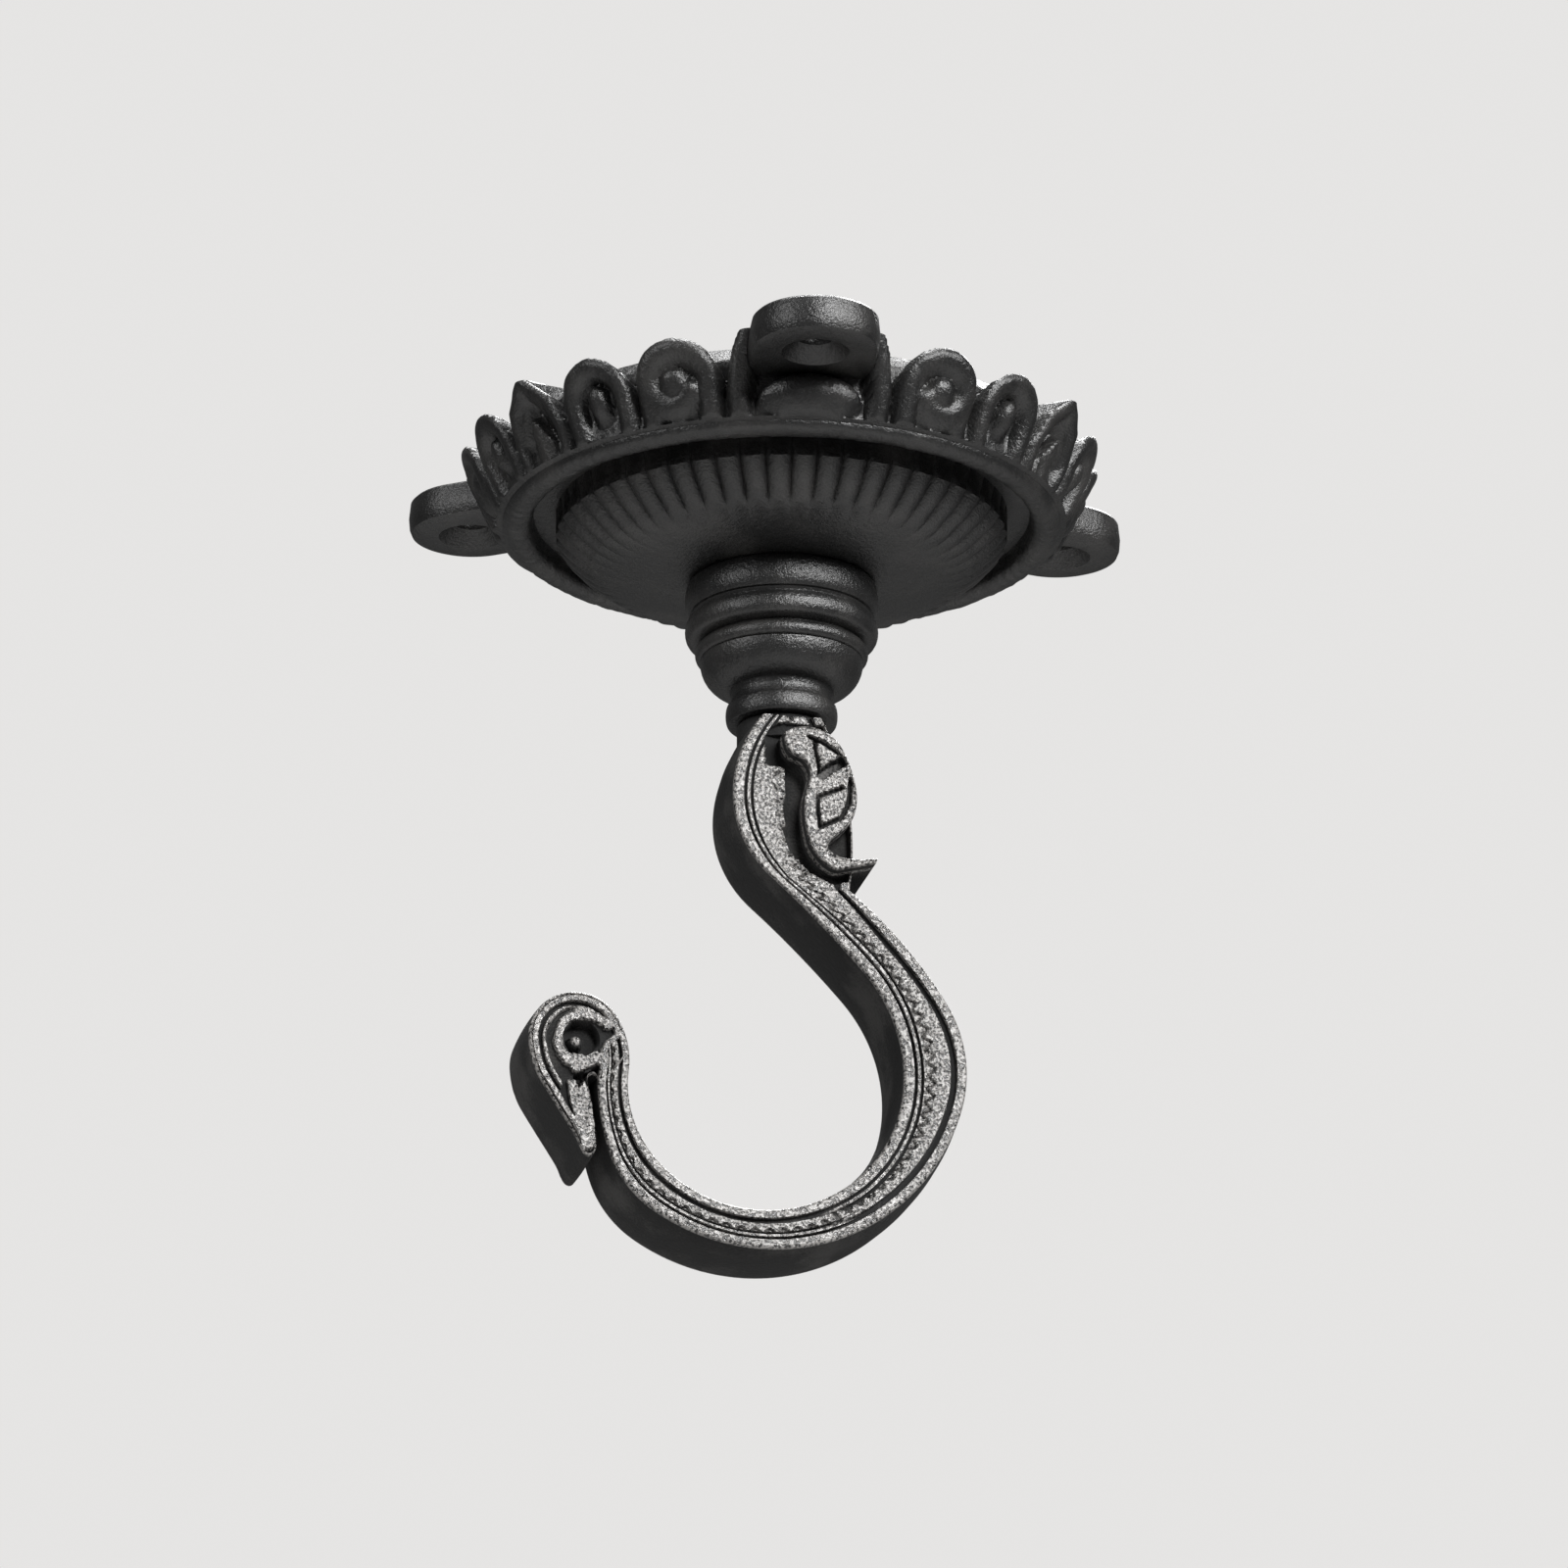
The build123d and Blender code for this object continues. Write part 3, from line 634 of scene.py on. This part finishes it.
leafPairs = [
    ((-1.7, -3.3), (-1.7, -3.3)), ((-0.6, -6.3), (3.4, -2.5)), ((1.2, -7.2), (6.0, -4.3)), ((2.0, -9.2), (7.8, -8.0)),
    ((1.2, -13.0), (8.6, -12.2)), ((1.4, -16.9), (7.7, -15.8)), ((2.5, -20.2), (4.7, -18.9)),
    ((5.2, -22.7), (6.4, -20.9)), ((8.0, -22.3), (8.6, -21.1)), ((11.2, -21.5), (11.4, -20.8)),
]
leafCuts = [  # line, half width, depth
    ([(1.9, -3.7), (4.0, -4.5), (5.8, -5.7)], 0.4, 1.3), ([(2.6, -4.6), (3.3, -8.6)], 0.34, 1.3),
    ([(6.5, -7.0), (5.2, -7.8), (3.6, -9.1)], 0.8, 1.9), ([(3.1, -12.4), (6.5, -10.8)], 0.36, 1.3),
    ([(3.1, -12.4), (3.1, -14.5), (3.4, -16.8)], 0.34, 1.3),
    ([(3.4, -16.8), (6.4, -15.2), (7.5, -12.8), (7.7, -9.5)], 0.4, 1.3),
]
channel = [  # hollow in the face round the stem of the leaf
    (-3.8, -1.9), (-3.8, -7.4), (-1.2, -7.7), (-1.1, -12.5), (-1.1, -17.0), (-0.2, -19.9), (2.4, -22.7), (5.6, -24.2),
    (9.0, -23.5), (8.0, -8.0), (6.0, -1.0), (-2.0, -1.0),
]
strokeLine = np.array([  # raised line between neck and head: height, place
    (-54.8, -26.45), (-52.2, -25.95), (-50.6, -26.05), (-49.7, -25.6), (-47.9, -23.7),
])


def strokeAt(heights):
    return np.interp(heights, strokeLine[:, 0], strokeLine[:, 1])


def faceRelief(spots, fromThroat, fromBack, share):  # how far the face lies below its rims
    h = hook
    lined = 1 - smoothStep(share, *h["lineCrosses"])  # the thin line is on the throat side, past the bottom outside
    start = h["rim"] + h["groove"]
    sections = [  # rim, grooves inside it
        (h["rim"], [(h["rim"], start), (start + h["line"], start + h["line"] + h["groove"])]),
        (h["plainRim"], [(h["plainRim"], h["plainRim"] + h["wideGroove"])]),
    ]
    sunk, panel = 0, 1
    for distance, lining in ((fromThroat, lined), (fromBack, 1 - lined)):
        below, beyond = 0, 0
        for weight, (rim, grooves) in zip((lining, 1 - lining), sections):
            inGroove = sum((distance > low) & (distance < high) for low, high in grooves)
            crown = h["rimCrown"] * (1 - roundRidge(distance - rim / 2, rim * 0.62)) * (distance < rim)
            below = below + weight * np.where(inGroove, h["grooveDepth"], crown)
            beyond = beyond + weight * (distance > grooves[-1][1])
        sunk = np.maximum(sunk, below)
        panel = panel * beyond
    grain = sandGrain(spots[:, 0], spots[:, 1], h["grainSize"])
    middle = (fromThroat + fromBack) / 2
    fromLine = lined * fromThroat + (1 - lined) * fromBack
    vine = fromLine - middle * (h["vinePlace"] + h["vineSwing"] * np.sin(share * h["vineTurns"] * 2 * math.pi))
    texture = h["panelDrop"] + h["grainHeight"] * (0.5 - grain)
    texture = texture + h["vineDepth"] * roundRidge(vine, h["vineWidth"]) * (middle > h["vineFrom"])
    sunk = sunk + panel * np.maximum(texture, h["leastDrop"])
    loop = np.array(channel + channel[:1])
    hollow = insideOf(spots, channel) & (share < h["channelEnd"]) & (fromThroat > h["rim"] + h["channelInset"])
    fade = smoothStep(distanceTo(spots, loop), 0, h["channelWall"])
    sunk = np.where(hollow, np.maximum(sunk, h["channelDepth"] * fade), sunk)
    x, v = spots.T
    past = (share > h["headFrom"]) & (v > h["headHeight"]) & (x < strokeAt(v) - 0.1)  # where the head takes over
    return np.where(past, h["headDrop"], sunk)


def leafRelief(spots, fromStem, *others):  # as faceRelief, but only the stem side has a rim
    grain = sandGrain(spots[:, 0], spots[:, 1], hook["grainSize"])
    stem = leaf["stemDrop"] * (1 - roundRidge(fromStem - 0.4, leaf["stemWidth"]))
    onStem = (fromStem < leaf["stemReach"]) & (spots[:, 1] < leaf["stemFrom"])
    sunk = np.where(onStem, stem, leaf["drop"] + hook["grainHeight"] * (0.5 - grain))
    for path, width, depth in leafCuts:
        sunk = np.maximum(sunk, depth * smoothStep(width - distanceTo(spots, path), 0, leaf["cutWall"]))
    return sunk


def addRibbon(bm, left, right, half, edge, knots, middle, relief, bulge=0.0):  # a thick band between two edge lines
    width = np.hypot(*(right - left).T)
    across = (right - left) / np.maximum(width, 1e-6)[:, None]
    tight = edge * np.minimum(1, width / (2.4 * edge))
    flat = width - 2 * tight
    knots = np.array(knots)[:, None]
    scale = np.minimum(1, flat / 2 / (knots[-1] + 0.45))
    near, share = knots * scale, np.linspace(0, 1, middle + 2)[1:-1, None]
    far = flat - near[::-1]
    columns = np.concatenate([near, near[-1] + (far[0] - near[-1]) * share, far]) + tight
    corner, side = np.radians([[22.5], [45], [67.5]]), np.linspace(-1, 1, 5)[1:-1, None]
    inset, drop = tight * (1 - np.sin(corner)), tight * (1 - np.cos(corner))
    wall, swell = side * (half - tight), bulge * (1 - side ** 2) + 0 * width
    parts = [  # round the section: place across the band, place through it, whether carved
        (columns, -half, True), (width - inset, drop - half, False), (width + swell, wall, False),
        (width - inset[::-1], half - drop[::-1], False), (columns[::-1], half, True), (inset, half - drop, False),
        (-swell[::-1], wall[::-1], False), (inset[::-1], drop[::-1] - half, False),
    ]
    offsets = np.concatenate([place for place, level, carved in parts])
    levels = np.concatenate([level + 0 * place for place, level, carved in parts])
    flags = np.concatenate([[carved] * len(place) for place, level, carved in parts])
    around, rows = offsets.shape
    made, i, j = gridPlaces(bm, around, rows)
    offset, y = offsets[i, j], levels[i, j]
    spots = left[j] + across[j] * offset[:, None]
    sunk = relief(spots, (offset - tight[j]) / scale[j], (width[j] - tight[j] - offset) / scale[j], j / (rows - 1))
    y = np.where(flags[i], y - np.sign(y) * sunk, y)
    for vert, (x, v), depth in zip(made, spots, y):
        vert.co = (x, depth, hook["top"] + v)
    closeEnds(bm, made)


def closeEnds(bm, made):  # joins a rolled ribbon along its length and closes its open ends with fans
    bmesh.ops.remove_doubles(bm, verts=made, dist=0.002)
    ends = [edge for edge in bm.edges if edge.is_boundary]
    caps = bmesh.ops.edgeloop_fill(bm, edges=ends)["faces"]
    bmesh.ops.poke(bm, faces=caps)


def resampled(path, knots, counts):
    spans = [np.linspace(a, b, n, endpoint=False) for a, b, n in zip(knots[:-1], knots[1:], counts)]
    return pointsAt(path, np.concatenate(spans + [[knots[-1]]]))


def ribbonEdges(left, right, pairs, rows):  # both edge lines cut into the same number of stations
    leftKnots = [nearestLength(left, a) for a, b in pairs]
    rightKnots = [nearestLength(right, b) for a, b in pairs]
    spans = (np.diff(leftKnots) + np.diff(rightKnots)) / 2
    counts = np.maximum(2, np.rint(spans / spans.sum() * rows)).astype(int)
    return resampled(left, leftKnots, counts), resampled(right, rightKnots, counts)


# Bird's head at the end of the hook, worked in rings round its eye
head = {
    "eye": (-29.6, -49.1), "nearRings": 16, "farRings": 22, "nearStep": 0.3,
    "floor": 0.95, "wall": 0.22, "panelGrain": 0.36, "panelDrops": {"wedge": 0.12, "panel": 0.14}, "gapDepth": 2.4,
    "rimAt": 0.9, "rimWidth": 0.55, "lineAt": 2.15, "lineWidth": 0.4, "lineFrom": 24, "lineTo": 251,
    "browWidth": 0.78, "strokeWidth": 0.66, "neckTop": -47.6, "neckSide": -27.2,
    "socket": (-29.25, -48.95), "eyeRadius": 2.45, "eyeDepth": 2.8,
    "pupil": (-30.05, -49.55), "pupilRadius": 1.05, "pupilRise": 2.5,
}
headShapes = {
    "brow": [
        (-31.3, -52.3), (-32.3, -50.7), (-32.45, -49.0), (-31.5, -46.6), (-29.6, -45.8), (-27.2, -45.95),
        (-25.6, -47.0),
    ],
    "wedge": [
        (-32.2, -51.0), (-31.7, -52.4), (-30.2, -54.2), (-28.2, -53.3), (-26.1, -52.3), (-25.8, -50.9), (-27.4, -50.8),
        (-30.0, -51.4),
    ],
    "panel": [
        (-31.3, -55.2), (-30.2, -55.0), (-29.6, -56.2), (-28.9, -55.0), (-28.3, -56.2), (-27.6, -60.0), (-27.2, -64.6),
        (-28.6, -65.2), (-29.6, -63.4), (-30.2, -60.4), (-30.9, -57.8),
    ],
    "gap": [
        (-30.3, -54.5), (-28.2, -53.7), (-26.6, -52.9), (-26.6, -54.9), (-28.0, -55.6), (-28.9, -54.8), (-29.7, -55.7),
    ],
    "beak": [(-35.2, -54.9), (-33.1, -58.3), (-31.3, -61.1), (-30.0, -63.2), (-29.4, -64.6)],
    "underBeak": [
        (-29.4, -64.6), (-28.8, -65.6), (-27.9, -65.8), (-27.2, -64.6), (-27.4, -62.0), (-28.0, -58.0), (-28.5, -55.4),
        (-28.2, -54.4), (-27.5, -54.2), (-27.0, -54.7), (-26.4, -55.5), (-24.6, -53.2), (-22.8, -50.8),
    ],
}


def headOutline():  # the line that has a rim, and the whole outline
    step = head["nearStep"]
    start = nearestLength(throatPath, headShapes["underBeak"][-1])
    cheek = nearestLength(throatPath, (-36.1, -53.0))
    over = pointsAt(throatPath, np.linspace(start, cheek, int((cheek - start) / step)))
    beak = smoothRun([tuple(over[-1])] + headShapes["beak"], step)
    rest = smoothRun(headShapes["underBeak"], step)
    rimLine = np.concatenate([over, beak[1:]])
    return rimLine, np.concatenate([rimLine, rest[1:-1]])


def headRelief(spots, rimLine):
    h = head
    x, v = spots.T
    fromRim = distanceTo(spots, rimLine[::3])
    angle = np.degrees(np.arctan2(v - h["eye"][1], x - h["eye"][0])) % 360
    grain = sandGrain(x, v, hook["grainSize"]) - 0.5
    sunk = np.full(len(spots), h["floor"])
    strokeRun = np.array([(place, height) for height, place in strokeLine])
    ridges = [  # distance from the line, half width, drop, where it shows
        (abs(fromRim - h["rimAt"]), h["rimWidth"], 0.0, True),
        (abs(fromRim - h["lineAt"]), h["lineWidth"], 0.08, (angle > h["lineFrom"]) & (angle < h["lineTo"])),
        (distanceTo(spots, smoothRun(headShapes["brow"], 0.4)), h["browWidth"], 0.05, True),
        (distanceTo(spots, strokeRun), h["strokeWidth"], 0.03, True),
    ]
    for distance, width, level, where in ridges:
        raised = smoothStep(width - distance, 0, h["wall"]) * where
        sunk = np.minimum(sunk, h["floor"] + (level - h["floor"]) * raised)
    for name, level in h["panelDrops"].items():
        inPanel = insideOf(spots, headShapes[name])
        sunk = np.where(inPanel, np.minimum(sunk, level - h["panelGrain"] * grain), sunk)
    fromSocket = np.hypot(x - h["socket"][0], v - h["socket"][1])
    sunk = np.maximum(sunk, h["eyeDepth"] * smoothStep(h["eyeRadius"] + 0.1 - fromSocket, 0, h["wall"]))
    fromPupil = np.hypot(x - h["pupil"][0], v - h["pupil"][1])
    boss = h["eyeDepth"] - h["pupilRise"] * roundRidge(fromPupil, h["pupilRadius"]) ** 0.5
    sunk = np.where(fromPupil < h["pupilRadius"], boss, sunk)
    sunk = np.where(insideOf(spots, headShapes["gap"]), h["gapDepth"], sunk)
    onNeck = (x > strokeAt(v) + 0.5) & (v < h["neckTop"]) & (x > h["neckSide"])
    return np.where(onNeck, hook["headDrop"], sunk)


def addHead(bm):
    rimLine, outline = headOutline()
    h, half, edge = head, hook["thickness"] / 2, hook["edge"]
    eye = np.array(h["eye"])
    reach = np.hypot(*(outline - eye).T)
    flatReach = reach - edge
    total = h["nearRings"] + h["farRings"]
    face = [np.minimum(h["nearStep"] * k, flatReach - 0.02 * (total - k)) for k in range(h["nearRings"] + 1)]
    for k in range(1, h["farRings"] + 1):
        face.append(face[h["nearRings"]] + (flatReach - face[h["nearRings"]]) * k / h["farRings"])
    corner = [(flatReach + edge * math.sin(a), edge * (1 - math.cos(a))) for a in np.radians([22.5, 45, 67.5])]
    section = [(r, -half, True) for r in face]
    section += [(r, -half + drop, False) for r, drop in corner]
    section += [(reach + 0.2 * (1 - s * s), s * (half - edge), False) for s in np.linspace(-1, 1, 7)]
    section += [(r, half - drop, False) for r, drop in reversed(corner)]
    section += [(r, half, True) for r in reversed(face)]
    around, rows = len(outline), len(section)
    made, i, j = gridPlaces(bm, around, rows)
    radii = np.array([r for r, y, onFace in section])
    levels = np.array([y for r, y, onFace in section])
    flats = np.array([onFace for r, y, onFace in section])
    away = (outline - eye) / reach[:, None]
    spots = eye + away[i] * radii[j, i][:, None]
    sunk = headRelief(spots, rimLine)
    y = np.where(flats[j], levels[j] - np.sign(levels[j]) * sunk, levels[j])
    for vert, (x, v), depth in zip(made, spots, y):
        vert.co = (x, depth, hook["top"] + v)


stud = {
    "radius": 4.0, "pitch": 1.25, "depth": 0.4, "top": -6.7, "steps": 36, "tipChamfer": 0.8, "pole": 0.01,
    "threadFoot": -22, "threadLength": 14.5, "threadRows": 96,
    "shoulder": 6.2, "shoulderTop": -41.2, "chamfer": 0.3, "foot": -44.6,
}


def addStud(bm):  # shoulder under the spool and the threaded stud above it
    s = stud
    top, foot, rows = s["shoulderTop"], s["threadFoot"], s["threadRows"]
    outline = [
        (s["pole"], s["foot"]), (s["shoulder"], s["foot"]), (s["shoulder"], top - s["chamfer"]),
        (s["shoulder"] - s["chamfer"], top), (s["radius"], top),
    ]
    outline += [(s["radius"], foot + s["threadLength"] * k / rows) for k in range(rows + 1)]
    outline += [(s["radius"] - s["tipChamfer"], s["top"]), (s["pole"], s["top"])]
    before = set(bm.verts)
    spinOutline(bm, outline, s["steps"], closed=False)
    for vert in set(bm.verts) - before:
        x, y, z = vert.co
        if foot < z < s["top"] - 0.7 and math.hypot(x, y) > s["radius"] - 0.01:
            phase = (z / s["pitch"] - math.atan2(y, x) / (2 * math.pi)) % 1
            shrink = 1 - s["depth"] / s["radius"] * (1 - abs(2 * phase - 1))
            vert.co = (x * shrink, y * shrink, z)


def makeHook():
    bm = bmesh.new()
    h, half = hook, hook["thickness"] / 2
    left, right = ribbonEdges(throatPath, backPath, stationPairs, h["rows"])
    addRibbon(bm, left, right, half, h["edge"], h["knots"], h["columns"], faceRelief, h["bulge"])
    left, right = ribbonEdges(leafLeft, leafRight, leafPairs, leaf["rows"])
    addRibbon(bm, left, right, half + leaf["proud"], leaf["edge"], [0.0], leaf["columns"], leafRelief)
    addHead(bm)
    addStud(bm)
    return finishPiece(bm, "castHook", carvedIron, "hook")


makeHook()

# Washer and nut keep their solids and take the steel finish
for node in ("washer", "hex_nut"):
    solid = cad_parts[node]
    solid.data.materials.clear()
    solid.data.materials.append(platedSteel)
print("pieces ready")

# Stage, light and camera
view = {"azimuth": -12.7, "elevation": -20.5, "distance": 1.62, "lens": 269.7, "aim": (0.00033, -0.00007, -0.04956)}


def wayFrom(azimuth, elevation):  # from the object towards a place seen at these angles
    a, e = math.radians(azimuth), math.radians(elevation)
    return Vector((math.sin(a) * math.cos(e), -math.cos(a) * math.cos(e), math.sin(e)))


def aimAt(thing, target, way, distance):
    thing.location = Vector(target) + way * distance
    thing.rotation_euler = way.to_track_quat("Z", "Y").to_euler()


def makeCamera():
    camera = bpy.data.objects.new("camera", bpy.data.cameras.new("camera"))
    bpy.context.scene.collection.objects.link(camera)
    camera.data.sensor_width = 36
    camera.data.lens = view["lens"]
    camera.data.clip_start = 0.05
    aimAt(camera, view["aim"], wayFrom(view["azimuth"], view["elevation"]), view["distance"])
    bpy.context.scene.camera = camera


def addLamp(name, azimuth, elevation, distance, width, height, power):
    lamp = bpy.data.objects.new(name, bpy.data.lights.new(name, "AREA"))
    bpy.context.scene.collection.objects.link(lamp)
    lamp.data.shape = "RECTANGLE"
    lamp.data.size = width
    lamp.data.size_y = height
    lamp.data.energy = power
    aimAt(lamp, (0, 0, -0.05), wayFrom(azimuth, elevation), distance)


stage = {"floor": -1.5, "reach": 3.0, "darker": 0.80, "lighter": 0.86, "room": 0.78, "fill": 0.12, "warmth": 0.01}


def makeStage():
    finish = Finish(bpy.data.materials.new("paleFloor"))
    darker, lighter = (greyOf(stage[tone], stage["warmth"]) for tone in ("darker", "lighter"))
    pale = finish.surface({"Base Color": finish.mixColour(finish.noise(60, 2), darker, lighter), "Roughness": 0.9})
    bm = bmesh.new()
    bmesh.ops.create_grid(bm, x_segments=8, y_segments=8, size=stage["reach"])
    mesh = bpy.data.meshes.new("floor")
    bm.to_mesh(mesh)
    bm.free()
    mesh.transform(Matrix.Translation((0, 0, stage["floor"])))
    mesh.materials.append(pale)
    floor = bpy.data.objects.new("floor", mesh)
    bpy.context.scene.collection.objects.link(floor)


def makeWorld():  # pale where the camera sees it, dim as a light
    world = bpy.data.worlds.new("paleRoom")
    bpy.context.scene.world = world
    finish = Finish(world)
    rays = ("Is Camera Ray", "Is Transmission Ray")
    camera, through = (finish.node("ShaderNodeLightPath", out=ray) for ray in rays)
    shown = finish.node("ShaderNodeBackground", None, {"Color": greyOf(stage["room"], stage["warmth"])})
    fill = finish.node("ShaderNodeBackground", None, {"Color": greyOf(stage["fill"])})
    mixed = finish.node("ShaderNodeMixShader", None, {0: camera + through, 1: fill, 2: shown})
    finish.node("ShaderNodeOutputWorld", None, {"Surface": mixed})


makeCamera()
makeStage()
makeWorld()
lamps = {  # azimuth, elevation, distance, width, height, power
    "keyLamp": (46, 20, 1.2, 0.35, 0.35, 9),
    "frontLamp": (13, 21, 1.4, 0.4, 0.4, 21),
    "leftLamp": (-65, 18, 1.3, 0.35, 0.5, 5),
    "backLamp": (155, 42, 1.3, 0.5, 0.5, 14),
    "floorLamp": (0, 88, 1.7, 0.9, 0.9, 45),
}
for name, placed in lamps.items():
    addLamp(name, *placed)
bpy.context.scene.view_settings.view_transform = "Standard"
print("stage ready")
